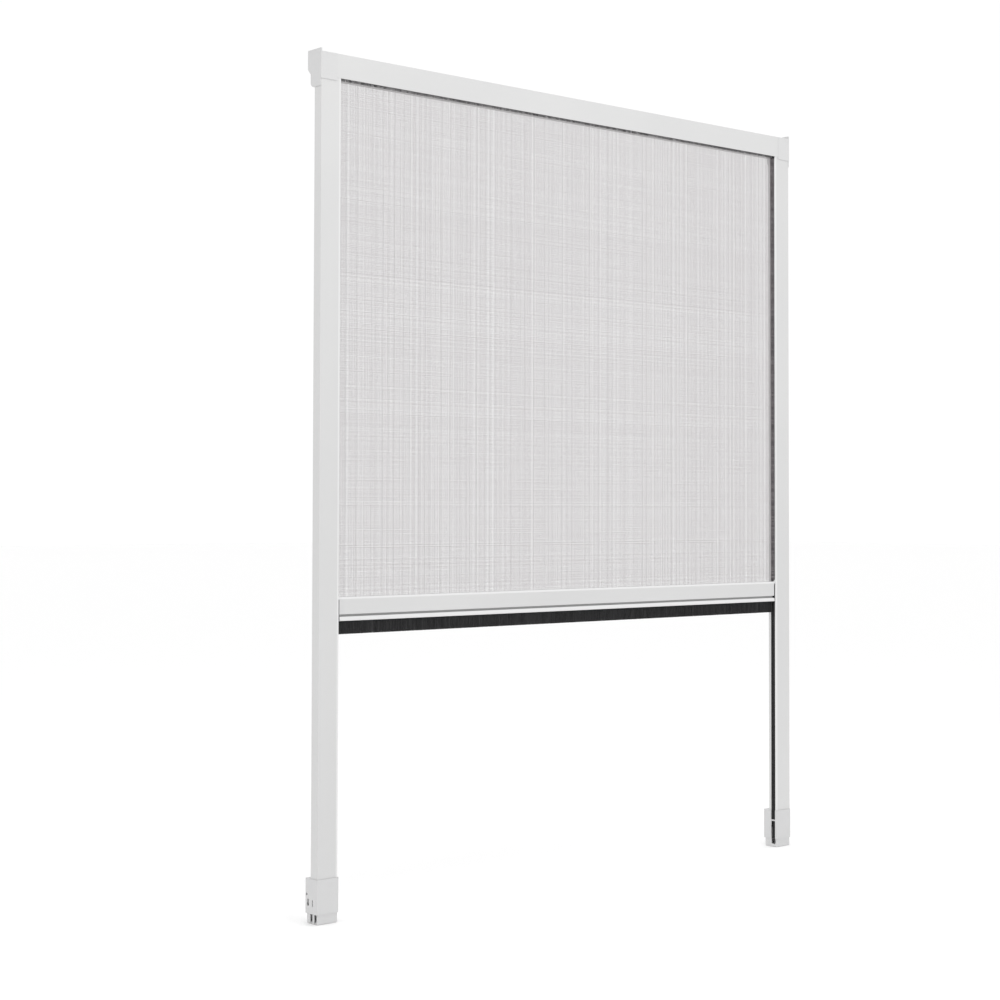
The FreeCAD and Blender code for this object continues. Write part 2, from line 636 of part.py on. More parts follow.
def pull_bar():
    x0, x1 = BAR_CUT_X, -BAR_CUT_X
    body = along_x(bar_section(), x0, x1)
    half_base, half_pile = PILE_BASE_W / 2 + FIT, PILE_W / 2 + FIT
    hollows = [
        MAIN_CHAMBER,
        (SPLINE_Y + SPLINE_GROOVE_R + BAR_WALL, BAR_BACK_Y - BAR_WALL,
         UPPER_WEB + BAR_WALL, BAR_TOP - BAR_WALL),
        (GROOVE_BACK_Y + BAR_WALL, BAR_BACK_Y - BAR_WALL,
         BAR_STRIP_TOP + BAR_WALL, BAR_FACE_BOTTOM),
        (BAR_FRONT_Y + BAR_WALL, BAR_PILE_Y - half_base - BAR_WALL,
         LIP_BOTTOM + BAR_WALL, LIP_TOP - BAR_WALL),
        (BAR_PILE_Y - half_base, BAR_PILE_Y + half_base, BAR_STRIP_Z, BAR_STRIP_TOP),
        (BAR_PILE_Y - half_pile, BAR_PILE_Y + half_pile, LIP_BOTTOM, BAR_STRIP_Z),
        (NET_Y - NET_SLIT / 2, NET_Y + NET_SLIT / 2, SPLINE_Z, BAR_TOP)]
    cuts = [along_x(rectangle(*hollow), x0, x1) for hollow in hollows]
    cuts.append(rod(SPLINE_GROOVE_R, x0, x1, SPLINE_Y, SPLINE_Z))
    return body.cut(cuts).removeSplitter()


def bar_brush():
    """Strip under the bar. Below the bar its pile goes on towards the rails."""
    end = -BAR_CUT_X
    tip = -RAIL_IN_X - BAR_PILE_GAP
    strip = along_x(pile_section(BAR_PILE_Y, BAR_STRIP_Z, BAR_STRIP_Z + PILE_BASE_T,
                                 BAR_PILE_BOTTOM, PILE_BASE_W, PILE_W, PILE_TIP_R), -end, end)
    y0, y1 = BAR_PILE_Y - PILE_W / 2, BAR_PILE_Y + PILE_W / 2
    skirt = along_x(
        [(y0, LIP_BOTTOM - FIT, 0), (y0, BAR_PILE_BOTTOM, PILE_TIP_R),
         (y1, BAR_PILE_BOTTOM, PILE_TIP_R), (y1, LIP_BOTTOM - FIT, 0)], -tip, tip)
    return joined(strip, skirt)


# Bar end: a moulded block with the bar's outline. A thin ear reaches past the rail's bead
# and carries the shoe that runs in the channel, so the wind can't pull the bar out.
def bar_end():
    body = along_x(bar_section(), BAR_END_X, BAR_CUT_X)
    y0, y1, z0, z1 = MAIN_CHAMBER
    spigot_end = BAR_CUT_X + BAR_SPIGOT_L
    spigot = block(BAR_CUT_X, spigot_end, y0 + SLIP, y1 - SLIP, z0 + SLIP, z1 - SLIP)
    inset = SLIP + BAR_WALL
    core = block(BAR_CUT_X, spigot_end, y0 + inset, y1 - inset, z0 + inset, z1 - inset)
    ear_y = BEAD_BACK_Y + RUN
    shoe_x1 = RAIL_IN_X - BEAD_W - RUN
    shoe_x0 = shoe_x1 - SHOE_W
    ear = along_y(
        [(BAR_END_X + EAR_ROOT, EAR_LOW, 0), (BAR_END_X + EAR_ROOT, BAR_TOP, 0),
         (BAR_END_X, BAR_TOP, EAR_R), (RAIL_IN_X, BAR_TOP + EAR_RISE, EAR_R),
         (shoe_x0 + SHOE_R, BAR_TOP + EAR_RISE, 0), (shoe_x0 + SHOE_R, EAR_LOW, 0)],
        ear_y, ear_y + EAR_T)
    shoe = along_y(rectangle(shoe_x0, shoe_x1, EAR_LOW, EAR_LOW + SHOE_H, SHOE_R),
                   ear_y + EAR_T - SHOE_T, ear_y + EAR_T)
    return joined(body, spigot.cut(core), ear, shoe)


# Foot sleeve: it takes the rail's end down to a shelf and stands out from it all round.
# Below the shelf it is a sheath for the sprung slider.
def foot_sleeve():
    body = along_z(
        rectangle(CAP_OUT_X, SLEEVE_IN_X, CAP_FRONT_Y, SLEEVE_BACK_Y, SLEEVE_R),
        SLEEVE_BOTTOM, SLEEVE_TOP)
    x0, x1 = RAIL_OUT_X - FIT, RAIL_IN_X + FIT
    y0, y1 = RAIL_FRONT_Y - FIT, RAIL_BACK_Y + FIT
    pocket = block(x0, x1, y0, y1, SHELF_TOP, SLEEVE_TOP)
    lead = block(x0 - LEAD_IN, x1 + LEAD_IN, y0 - LEAD_IN, y1, SLEEVE_TOP - LEAD_IN_H, SLEEVE_TOP)
    sheath = block(SHEATH_X0, SHEATH_X1, SHEATH_Y0, SHEATH_Y1, SLEEVE_BOTTOM, SHELF_BOTTOM)
    back_hollow = block(SHEATH_X0, SHEATH_X1, y1 + SLEEVE_WALL, SHEATH_Y1,
                        SHELF_BOTTOM, SLEEVE_TOP - SLEEVE_WALL)
    low_mouth = block(SHEATH_X1, SLEEVE_IN_X, BEAD_BACK_Y, FLANGE_FRONT_Y,
                      SLEEVE_BOTTOM, SHELF_BOTTOM)
    high_mouth = block(SHEATH_X1, SLEEVE_IN_X, BEAD_BACK_Y, FLANGE_FRONT_Y, SHELF_TOP, SLEEVE_TOP)
    slit_y = CAP_FRONT_Y + SLIT_FROM_FRONT
    slit = along_x(rectangle(slit_y - SLIT_W / 2, slit_y + SLIT_W / 2,
                             SLIT_Z, SLIT_Z + SLIT_L, SLIT_W / 2), CAP_OUT_X, SHEATH_X0)
    key_y = CAP_FRONT_Y + KEYHOLE_FROM_FRONT
    half_neck = KEYHOLE_NECK_W / 2
    keyhole = rod(KEYHOLE_R, CAP_OUT_X, SHEATH_X0, key_y, KEYHOLE_Z)
    neck = along_x(rectangle(key_y - half_neck, key_y + half_neck, KEYHOLE_Z,
                             KEYHOLE_Z + KEYHOLE_NECK_L, half_neck), CAP_OUT_X, SHEATH_X0)
    eye = rod(EYE_R, CAP_OUT_X, CAP_OUT_X + EYE_DEEP, SLEEVE_BACK_Y - EYE_FROM_BACK, EYE_Z)
    half_clip = CLIP_W / 2 + RUN
    clip_window = block(FOOT_X - half_clip, FOOT_X + half_clip, SHEATH_Y1, SLEEVE_BACK_Y,
                        CLIP_Z, CLIP_Z + CLIP_H + FOOT_TRAVEL + RUN)
    body = body.cut([pocket, lead, sheath, back_hollow, low_mouth, high_mouth,
                     slit, keyhole, neck, eye, clip_window])
    stud = Part.makeCylinder(STUD_R, STUD_L, vector(FOOT_X, FOOT_SPRING_Y, SHELF_BOTTOM - STUD_L))
    return joined(body, stud)


# Foot slider: an open-topped box with two grooves in its outer side, the end of the rail's
# channel in its inner side and a clip that stops it in the sleeve's window.
def foot_slider():
    body = along_z(rectangle(SLIDER_X0, SLIDER_X1, SLIDER_Y0, SLIDER_Y1, SLIDER_R),
                   PAD_T, SLIDER_TOP)
    x0, x1 = SLIDER_X0 + SLIDER_WALL, SLIDER_X1 - SLIDER_WALL
    y0, y1 = SLIDER_Y0 + SLIDER_WALL, SLIDER_Y1 - SLIDER_WALL
    inside = block(x0, x1, y0, y1, SLIDER_INSIDE, SLIDER_TOP)
    groove_y = SLIDER_Y0 + FRONT_POST
    window = block(SLIDER_X0, x0, groove_y, y1, GROOVE_TOP, SLIDER_TOP)
    cuts = [inside, window]
    for width in (FRONT_GROOVE_W, BACK_GROOVE_W):
        cuts.append(block(SLIDER_X0, x0, groove_y, groove_y + width, PAD_T, GROOVE_TOP))
        groove_y += width + MIDDLE_POST
    cuts.append(along_x(
        [(BEAD_BACK_Y, CHANNEL_SILL, CHANNEL_R), (FLANGE_FRONT_Y, CHANNEL_SILL, CHANNEL_R),
         (FLANGE_FRONT_Y, SLIDER_TOP, 0), (BEAD_BACK_Y, SLIDER_TOP, 0)], x1, SLIDER_X1))
    clip_y = SLIDER_Y1 + CLIP_T
    clip = along_x([(SLIDER_Y1 - FIT, CLIP_Z, 0), (clip_y, CLIP_Z, CLIP_R),
                    (clip_y, CLIP_Z + CLIP_H / 2, CLIP_R), (SLIDER_Y1 - FIT, CLIP_Z + CLIP_H, 0)],
                   FOOT_X - CLIP_W / 2, FOOT_X + CLIP_W / 2)
    stud = Part.makeCylinder(STUD_R, STUD_L, vector(FOOT_X, FOOT_SPRING_Y, SLIDER_INSIDE - FIT))
    return joined(body.cut(cuts), clip, stud)


def foot_pad():
    return along_z(rectangle(SLIDER_X0 + PAD_INSET, SLIDER_X1 - PAD_INSET, SLIDER_Y0 + PAD_INSET,
                             SLIDER_Y1 - PAD_INSET, SLIDER_R), 0, PAD_T)


def foot_seal():
    """Pile strip under the shelf. It closes the end of the rail's channel."""
    x1 = SLIDER_X1 - SLIDER_WALL - FOOT_SEAL_GAP
    y0 = SLIDER_Y0 + SLIDER_WALL + FOOT_SEAL_GAP
    return block(x1 - FOOT_SEAL_T, x1, y0, y0 + FOOT_SEAL_W,
                 SLIDER_INSIDE + FOOT_TRAVEL + RUN, SHELF_BOTTOM)


def foot_spring():
    """Compression spring between the slider's floor and the sleeve's shelf."""
    closed = 2 * FOOT_SPRING_WIRE_R + FIT
    height = SHELF_BOTTOM - SLIDER_INSIDE - 2 * FOOT_SPRING_WIRE_R
    open_turns = FOOT_SPRING_TURNS - 2
    rises = [closed] + [(height - 2 * closed) / open_turns] * open_turns + [closed]
    spring = coil(FOOT_SPRING_R, FOOT_SPRING_WIRE_R, rises, sides=6)
    spring.translate(vector(FOOT_X, FOOT_SPRING_Y, SLIDER_INSIDE + FOOT_SPRING_WIRE_R))
    return spring


write_pair("rail", rail())
write_pair("rail_brush", rail_brush())
write("cassette_housing", cassette())
write("cassette_brush", cassette_brush())
write("end_cap_left", end_cap_left())
write("end_cap_right", end_cap_right())
write("roller_tube", roller_tube())
write("net_roll", net_roll())
write("roller_plug_left", plug(SHAFT_R + SHAFT_RUN))
write("roller_plug_right", mirrored(plug(SHAFT_R)))
write("roller_pin", roller_pin())
write("spring_shaft", spring_shaft())
write("spring_anchor", spring_anchor())
write("torsion_spring", torsion_spring())
write("insect_net", insect_net())
write("net_spline", net_spline())
write("pull_bar", pull_bar())
write("bar_brush", bar_brush())
write_pair("bar_end", bar_end())
write_pair("foot_sleeve", foot_sleeve())
write_pair("foot_slider", foot_slider())
write_pair("foot_pad", foot_pad())
write_pair("foot_seal", foot_seal())
write_pair("foot_spring", foot_spring())

print("bar down to the sill:", round(RUN - BAR_PILE_BOTTOM, 2))
print("bar down to the shelf:", round(SHELF_TOP + RUN - EAR_LOW, 2))
print("bar up:", round(RAIL_TOP - RUN - EAR_LOW - SHOE_H, 2))
print("roller axis y, z:", round(ROLLER_Y, 3), round(ROLLER_Z, 3))
print("net plane y:", round(NET_Y, 3))
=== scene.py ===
import math

import bpy
from mathutils import Matrix, Vector


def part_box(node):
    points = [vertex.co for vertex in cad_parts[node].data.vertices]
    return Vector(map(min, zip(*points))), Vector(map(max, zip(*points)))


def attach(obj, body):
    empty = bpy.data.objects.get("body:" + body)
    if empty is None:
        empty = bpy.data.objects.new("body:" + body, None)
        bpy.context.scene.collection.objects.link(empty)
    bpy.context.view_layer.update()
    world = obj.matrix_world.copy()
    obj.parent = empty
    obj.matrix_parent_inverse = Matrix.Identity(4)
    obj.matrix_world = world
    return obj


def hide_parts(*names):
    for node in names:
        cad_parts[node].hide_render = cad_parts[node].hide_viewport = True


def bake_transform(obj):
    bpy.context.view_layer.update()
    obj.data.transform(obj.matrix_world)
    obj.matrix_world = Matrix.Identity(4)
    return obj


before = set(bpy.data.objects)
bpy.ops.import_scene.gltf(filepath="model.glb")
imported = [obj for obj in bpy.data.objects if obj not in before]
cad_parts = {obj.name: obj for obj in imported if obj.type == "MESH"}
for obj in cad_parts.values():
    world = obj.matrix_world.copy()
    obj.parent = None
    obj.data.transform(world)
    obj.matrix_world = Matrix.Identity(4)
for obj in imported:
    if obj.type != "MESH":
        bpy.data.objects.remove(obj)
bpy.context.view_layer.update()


# Guide rails. Each is one aluminium extrusion that stands on a foot's shelf and carries a cap.
# Its white powder coat ripples slightly like orange peel. It carries a painted highlight on the
# rounded bead in front and painted shade deep in the channel.
def new_material(name, colour, roughness, metallic=0.0):
    """Material with the values that are the same all over the surface."""
    material = bpy.data.materials.new(name)
    material.use_nodes = True
    shader = material.node_tree.nodes["Principled BSDF"]
    shader.inputs["Base Color"].default_value = (*colour, 1.0)
    shader.inputs["Roughness"].default_value = roughness
    shader.inputs["Metallic"].default_value = metallic
    return material


def noise(material, scale, detail=2.0, stretch=(1.0, 1.0, 1.0)):
    """Noise on the piece's own coordinates. stretch scales them along X, Y and Z."""
    tree = material.node_tree
    place = tree.nodes.new("ShaderNodeTexCoord")
    mapping = tree.nodes.new("ShaderNodeMapping")
    mapping.inputs["Scale"].default_value = stretch
    texture = tree.nodes.new("ShaderNodeTexNoise")
    texture.inputs["Scale"].default_value = scale
    texture.inputs["Detail"].default_value = detail
    tree.links.new(place.outputs["Object"], mapping.inputs["Vector"])
    tree.links.new(mapping.outputs["Vector"], texture.inputs["Vector"])
    return texture.outputs["Fac"]


def vary(material, socket, source, low, high, span=(0.35, 0.65)):
    """Runs a socket of the shader from one value or colour to another."""
    tree = material.node_tree
    ramp = tree.nodes.new("ShaderNodeValToRGB")
    for element, position, value in zip(ramp.color_ramp.elements, span, (low, high)):
        element.position = position
        colour = value if isinstance(value, tuple) else (value, value, value)
        element.color = (*colour, 1.0)
    tree.links.new(source, ramp.inputs["Fac"])
    tree.links.new(ramp.outputs["Color"], tree.nodes["Principled BSDF"].inputs[socket])


def emboss(material, source, height):
    """Relief of the given height in metres."""
    tree = material.node_tree
    relief = tree.nodes.new("ShaderNodeBump")
    relief.inputs["Distance"].default_value = height
    tree.links.new(source, relief.inputs["Height"])
    tree.links.new(relief.outputs["Normal"], tree.nodes["Principled BSDF"].inputs["Normal"])


def feed(tree, socket, value):
    """Sets an input to a value, or joins it to another node's output."""
    if isinstance(value, bpy.types.NodeSocket):
        tree.links.new(value, socket)
    else:
        socket.default_value = value


def calculate(tree, operation, *values):
    """Adds a maths node that is fed with values or with other nodes' outputs."""
    node = tree.nodes.new("ShaderNodeMath")
    node.operation = operation
    for socket, value in zip(node.inputs, values):
        feed(tree, socket, value)
    return node.outputs["Value"]


def region(material, x=None, y=None, z=None, edge=0.0001):
    """Mask of what lies between the given places. x is the distance from the middle."""
    tree = material.node_tree
    place = tree.nodes.new("ShaderNodeTexCoord")
    split = tree.nodes.new("ShaderNodeSeparateXYZ")
    tree.links.new(place.outputs["Object"], split.inputs["Vector"])
    mask = None
    for axis, span in (("X", x), ("Y", y), ("Z", z)):
        if span is None:
            continue
        position = split.outputs[axis]
        if axis == "X":
            position = calculate(tree, "ABSOLUTE", position)
        offset = calculate(tree, "SUBTRACT", position, (span[0] + span[1]) / 2)
        half = (span[1] - span[0]) / 2
        inside = tree.nodes.new("ShaderNodeMapRange")
        feed(tree, inside.inputs["Value"], calculate(tree, "ABSOLUTE", offset))
        for label, value in (("From Min", half - edge), ("From Max", half + edge),
                             ("To Min", 1.0), ("To Max", 0.0)):
            inside.inputs[label].default_value = value
        if mask is None:
            mask = inside.outputs["Result"]
        else:
            mask = calculate(tree, "MULTIPLY", mask, inside.outputs["Result"])
    return mask


def tint(material, mask, grey):
    """Another shade of grey where the mask is white, for a painted highlight or painted shade.
    """
    tree = material.node_tree
    base = tree.nodes["Principled BSDF"].inputs["Base Color"]
    mix = tree.nodes.new("ShaderNodeMix")
    mix.data_type = "RGBA"
    factor, first, second = mix.inputs[0], mix.inputs[6], mix.inputs[7]
    tree.links.new(mask, factor)
    tree.links.new(base.links[0].from_socket, first)
    second.default_value = (grey, grey, grey, 1.0)
    tree.links.new(mix.outputs[2], base)


def powder_coating(name):
    coat = new_material(name, (0.61, 0.61, 0.61), 0.4)
    vary(coat, "Base Color", noise(coat, 2.5), (0.6, 0.6, 0.6), (0.62, 0.62, 0.618))
    vary(coat, "Roughness", noise(coat, 60.0), 0.36, 0.46)
    emboss(coat, noise(coat, 1100.0), 0.00002)
    return coat


def finish_nodes(material, *names):
    """Gives CAD nodes their finish."""
    for name in names:
        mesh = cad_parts[name].data
        mesh.materials.clear()
        mesh.materials.append(material)


# Greys of the painted highlight on rounded edges and of the painted shade in the rails'
# channels.
ROUNDED_EDGE_HIGHLIGHT = 0.71
CHANNEL_PAINTED_SHADE = 0.13
OUTSIDE = 0.001           # a mask reaches this far past an outer surface
INTO_WALL = 0.0003        # and this far into a wall
INTO_FRONT_WALL = 0.0002
SOFT_EDGE = 0.0004
RAIL_WALL = 0.0014
BEAD_WIDTH = 0.0046
BEAD_THICK = 0.0026
CHANNEL_DEEP = 0.024
CHANNEL_MOUTH = 0.0005    # the painted channel shade starts this far inside the mouth
BACK_FLANGE = 0.0066
rail_low, rail_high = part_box("rail_right")
rail_coat = powder_coating("rail_coat")
# Painted highlight on the rounded bead in front.
bead_highlight = region(rail_coat, x=(rail_low.x - OUTSIDE, rail_low.x + BEAD_WIDTH),
              y=(rail_low.y - OUTSIDE, rail_low.y + BEAD_THICK), edge=SOFT_EDGE)
tint(rail_coat, bead_highlight, ROUNDED_EDGE_HIGHLIGHT)
# Painted shade deep in the channel, where little light reaches.
channel_shade = region(rail_coat,
                 x=(rail_low.x + CHANNEL_MOUTH, rail_low.x + CHANNEL_DEEP + INTO_WALL),
                 y=(rail_low.y + RAIL_WALL - INTO_FRONT_WALL,
                    rail_high.y - BACK_FLANGE + INTO_WALL))
tint(rail_coat, channel_shade, CHANNEL_PAINTED_SHADE)
finish_nodes(rail_coat, "rail_left", "rail_right")


# Feet. Sleeve and slider are moulded in white plastic with a fine spark-eroded grain. The
# sleeve is pushed on to the rail's end, and the slider snaps into the sleeve from below. A
# sole of pale matt rubber is plugged into the slider.
def moulding(name):
    plastic = new_material(name, (0.6, 0.6, 0.6), 0.5)
    vary(plastic, "Base Color", noise(plastic, 8.0), (0.59, 0.59, 0.593), (0.61, 0.61, 0.61))
    vary(plastic, "Roughness", noise(plastic, 120.0), 0.46, 0.56)
    emboss(plastic, noise(plastic, 2200.0, detail=4.0), 0.00003)
    return plastic


moulded_white = moulding("moulded_white")
finish_nodes(moulded_white, "foot_sleeve_left", "foot_sleeve_right",
             "foot_slider_left", "foot_slider_right")

sole_rubber = new_material("sole_rubber", (0.58, 0.575, 0.575), 0.85)
vary(sole_rubber, "Base Color", noise(sole_rubber, 300.0),
     (0.55, 0.545, 0.545), (0.61, 0.605, 0.605))
emboss(sole_rubber, noise(sole_rubber, 1500.0), 0.00005)
finish_nodes(sole_rubber, "foot_pad_left", "foot_pad_right")


# Foot springs. Round drawn wire, wound cold to an open coil. Each stands on the slider's stud
# and pushes against the sleeve's shelf.
def node_tree(name, sockets):
    """Geometry tree with its inputs: name, socket type and starting value."""
    tree = bpy.data.node_groups.new(name, "GeometryNodeTree")
    geometry = {"name": "Geometry", "socket_type": "NodeSocketGeometry"}
    tree.interface.new_socket(in_out="INPUT", **geometry)
    for label, kind, value in sockets:
        socket = tree.interface.new_socket(name=label, in_out="INPUT", socket_type=kind)
        if value is not None:
            socket.default_value = value
    tree.interface.new_socket(in_out="OUTPUT", **geometry)
    return (tree, tree.nodes.new("NodeGroupInput").outputs,
            tree.nodes.new("NodeGroupOutput").inputs)


def step(tree, kind, settings=None, **inputs):
    """Adds a node. Inputs are values or outputs of other nodes, named with _ for a space."""
    made = tree.nodes.new(kind)
    for key, value in (settings or {}).items():
        setattr(made, key, value)
    for key, value in inputs.items():
        feed(tree, made.inputs[key.replace("_", " ")], value)
    return made


def close_tree(tree, geometry, material, tree_out):
    """Ends a tree: all that it has placed becomes plain mesh in its finish."""
    real = step(tree, "GeometryNodeRealizeInstances", Geometry=geometry)
    finished = step(tree, "GeometryNodeSetMaterial", Geometry=real.outputs["Geometry"],
                    Material=material)
    tree.links.new(finished.outputs["Geometry"], tree_out["Geometry"])


def grow(piece, tree, **values):
    """Runs a tree on a piece and keeps the result as its plain mesh."""
    modifier = piece.modifiers.new(tree.name, "NODES")
    modifier.node_group = tree
    for item in tree.interface.items_tree:
        key = item.name.replace(" ", "_")
        if item.in_out == "INPUT" and key in values:
            modifier[item.identifier] = values[key]
    bpy.context.view_layer.update()
    shape = piece.evaluated_get(bpy.context.evaluated_depsgraph_get())
    mesh = bpy.data.meshes.new_from_object(shape)
    piece.modifiers.clear()
    piece.data = mesh
    return piece


def new_piece(name, vertices=(), faces=()):
    mesh = bpy.data.meshes.new(name)
    mesh.from_pydata(vertices, [], faces)
    piece = bpy.data.objects.new(name, mesh)
    bpy.context.scene.collection.objects.link(piece)
    return piece


coil_tree, coil_in, coil_out = node_tree("wound_coil", [
    ("Turns", "NodeSocketFloat", 7.0), ("Radius", "NodeSocketFloat", 0.005),
    ("Wire", "NodeSocketFloat", 0.0007), ("Height", "NodeSocketFloat", 0.05),
    ("Place", "NodeSocketVector", None), ("Finish", "NodeSocketMaterial", None)])
spiral = step(coil_tree, "GeometryNodeCurveSpiral", Resolution=24, Rotations=coil_in["Turns"],
              Start_Radius=coil_in["Radius"], End_Radius=coil_in["Radius"],
              Height=coil_in["Height"])
wire_profile = step(coil_tree, "GeometryNodeCurvePrimitiveCircle", Resolution=8,
                    Radius=coil_in["Wire"])
wire = step(coil_tree, "GeometryNodeCurveToMesh", Curve=spiral.outputs["Curve"],
            Profile_Curve=wire_profile.outputs["Curve"], Fill_Caps=True)
stood = step(coil_tree, "GeometryNodeTransform", Geometry=wire.outputs["Mesh"],
             Translation=coil_in["Place"])
close_tree(coil_tree, stood.outputs["Geometry"], coil_in["Finish"], coil_out)

spring_steel = new_material("spring_steel", (0.35, 0.35, 0.36), 0.32, metallic=1.0)
vary(spring_steel, "Roughness", noise(spring_steel, 600.0), 0.25, 0.45)

FOOT_WIRE = 0.0007
FOOT_TURNS = 7.0
for end in ("left", "right"):
    low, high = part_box(f"foot_spring_{end}")
    centre = (low + high) / 2
    clamp_spring = grow(new_piece(f"clamp_spring_{end}"), coil_tree, Turns=FOOT_TURNS,
                        Radius=(high.x - low.x) / 2 - FOOT_WIRE, Wire=FOOT_WIRE,
                        Height=high.z - low.z - 2 * FOOT_WIRE,
                        Place=(centre.x, centre.y, low.z + FOOT_WIRE), Finish=spring_steel)
    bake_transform(clamp_spring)
    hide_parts(f"foot_spring_{end}")


# Brush strips. Dark polypropylene pile, woven on to a stiff back that slides into the slot
# of its extrusion. The same pile seals the rails' channels, the feet and the cassette's slot.
def random_value(tree, kind, low, high, seed):
    """Adds a random value between two limits. kind is FLOAT or FLOAT_VECTOR."""
    node = step(tree, "FunctionNodeRandomValue", {"data_type": kind}, Seed=seed)
    limit, result = (0, 0) if kind == "FLOAT_VECTOR" else (2, 1)
    feed(tree, node.inputs[limit], low)
    feed(tree, node.inputs[limit + 1], high)
    return node.outputs[result]


def shade_each(tree, instances, seed):
    """Stores a random shade from 0 to 1 on each instance."""
    shaded = step(tree, "GeometryNodeStoreNamedAttribute",
                  {"data_type": "FLOAT", "domain": "INSTANCE"}, Geometry=instances,
                  Name="tone", Value=random_value(tree, "FLOAT", 0.0, 1.0, seed))
    return shaded.outputs["Geometry"]


def join(tree, *parts):
    joined = tree.nodes.new("GeometryNodeJoinGeometry")
    for part in parts:
        tree.links.new(part, joined.inputs["Geometry"])
    return joined.outputs["Geometry"]


def fibre_material(name, colour, roughness, dark, light):
    """Finish of a bundle whose fibres each have a shade of their own."""
    material = new_material(name, colour, roughness)
    shade = material.node_tree.nodes.new("ShaderNodeAttribute")
    shade.attribute_name = "tone"
    vary(material, "Base Color", shade.outputs["Fac"], dark, light, span=(0.0, 1.0))
    return material


pile_tree, pile_in, pile_out = node_tree("brush_pile", [
    ("Density", "NodeSocketFloat", 3.0e6), ("Length", "NodeSocketFloat", 0.02),
    ("Thickness", "NodeSocketFloat", 0.0001), ("Turn", "NodeSocketVector", None),
    ("Lean", "NodeSocketFloat", 0.03), ("Seed", "NodeSocketInt", 1),
    ("Finish", "NodeSocketMaterial", None)])
root_faces = step(pile_tree, "GeometryNodeInputNamedAttribute", {"data_type": "BOOLEAN"},
                  Name="root").outputs["Attribute"]
roots = step(pile_tree, "GeometryNodeDistributePointsOnFaces", Mesh=pile_in["Geometry"],
             Selection=root_faces, Density=pile_in["Density"], Seed=pile_in["Seed"])
fibre = step(pile_tree, "GeometryNodeMeshCone", Vertices=3, Radius_Top=pile_in["Thickness"],
             Radius_Bottom=pile_in["Thickness"], Depth=pile_in["Length"])
aimed = step(pile_tree, "GeometryNodeTransform", Geometry=fibre.outputs["Mesh"],
             Rotation=pile_in["Turn"])
lean_back = calculate(pile_tree, "MULTIPLY", pile_in["Lean"], -1.0)
leaning = random_value(pile_tree, "FLOAT_VECTOR", lean_back, pile_in["Lean"], pile_in["Seed"])
planted = step(pile_tree, "GeometryNodeInstanceOnPoints", Points=roots.outputs["Points"],
               Instance=aimed.outputs["Geometry"], Rotation=leaning)
fibres = shade_each(pile_tree, planted.outputs["Instances"], pile_in["Seed"])
back = step(pile_tree, "GeometryNodeDeleteGeometry", {"domain": "FACE"},
            Geometry=pile_in["Geometry"], Selection=root_faces)
close_tree(pile_tree, join(pile_tree, back.outputs["Geometry"], fibres),
           pile_in["Finish"], pile_out)

dark_pile = fibre_material("dark_pile", (0.03, 0.03, 0.032), 0.7,
                           (0.014, 0.014, 0.015), (0.07, 0.07, 0.072))

FIBRE = 0.00011
FORWARD = (math.pi / 2, 0.0, 0.0)
DOWN = (math.pi, 0.0, 0.0)


def box_faces(low, high):
    """Corners and outward faces of a box."""
    corners = [(x, y, z) for x in (low[0], high[0]) for y in (low[1], high[1])
               for z in (low[2], high[2])]
    faces = [(0, 1, 3, 2), (4, 6, 7, 5), (0, 4, 5, 1), (2, 3, 7, 6), (0, 2, 6, 4), (1, 5, 7, 3)]
    return corners, faces


def brush(name, node, body, back_box, core_box, root, length, turn, density, seed, lean=0.02):
    """Strip of pile: its back, a core a little inside the pile, and the fibres round it."""
    vertices, faces = [], []
    for low, high in (back_box, core_box):
        corners, sides = box_faces(low, high)
        faces += [tuple(index + len(vertices) for index in side) for side in sides]
        vertices += corners
    faces.append(tuple(range(len(vertices), len(vertices) + 4)))
    vertices += root
    strip = new_piece(name, vertices, faces)
    flags = strip.data.attributes.new("root", "BOOLEAN", "FACE")
    flags.data[len(faces) - 1].value = True
    grow(strip, pile_tree, Density=density, Length=length, Thickness=FIBRE, Turn=turn,
         Lean=lean, Seed=seed, Finish=dark_pile)
    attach(strip, body)
    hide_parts(node)


def level_root(x0, x1, y0, y1, z):
    """Corners of the face that hanging fibres grow from."""
    return [(x0, y0, z), (x1, y0, z), (x1, y1, z), (x0, y1, z)]


CORE_INSET = 0.0007
CORE_SHORT = 0.001
HALF_PILE = 0.002
PILE_BACK = 0.0016
SEAL_BACK = 0.0015
SEAL_CORE_SHORT = 0.002
for end, seed in (("left", 3), ("right", 5)):
    low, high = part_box(f"rail_brush_{end}")
    middle_x = (low.x + high.x) / 2
    inner_x, outer_x = middle_x - HALF_PILE, middle_x + HALF_PILE
    back_y = high.y - PILE_BACK
    brush(f"rail_pile_{end}", f"rail_brush_{end}", "frame",
          ((low.x, back_y, low.z), (high.x, high.y, high.z)),
          ((inner_x + CORE_INSET, low.y + CORE_SHORT, low.z),
           (outer_x - CORE_INSET, back_y, high.z)),
          [(inner_x, back_y, low.z), (outer_x, back_y, low.z),
           (outer_x, back_y, high.z), (inner_x, back_y, high.z)],
          back_y - low.y, FORWARD, 2.2e6, seed, lean=0.2)

    low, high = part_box(f"foot_seal_{end}")
    back_z = high.z - SEAL_BACK
    brush(f"foot_pile_{end}", f"foot_seal_{end}", "frame",
          ((low.x, low.y, back_z), (high.x, high.y, high.z)),
          ((low.x + CORE_INSET, low.y + CORE_INSET, low.z + SEAL_CORE_SHORT),
           (high.x - CORE_INSET, high.y - CORE_INSET, back_z)),
          level_root(low.x, high.x, low.y, high.y, back_z), back_z - low.z, DOWN, 3.0e6, seed)


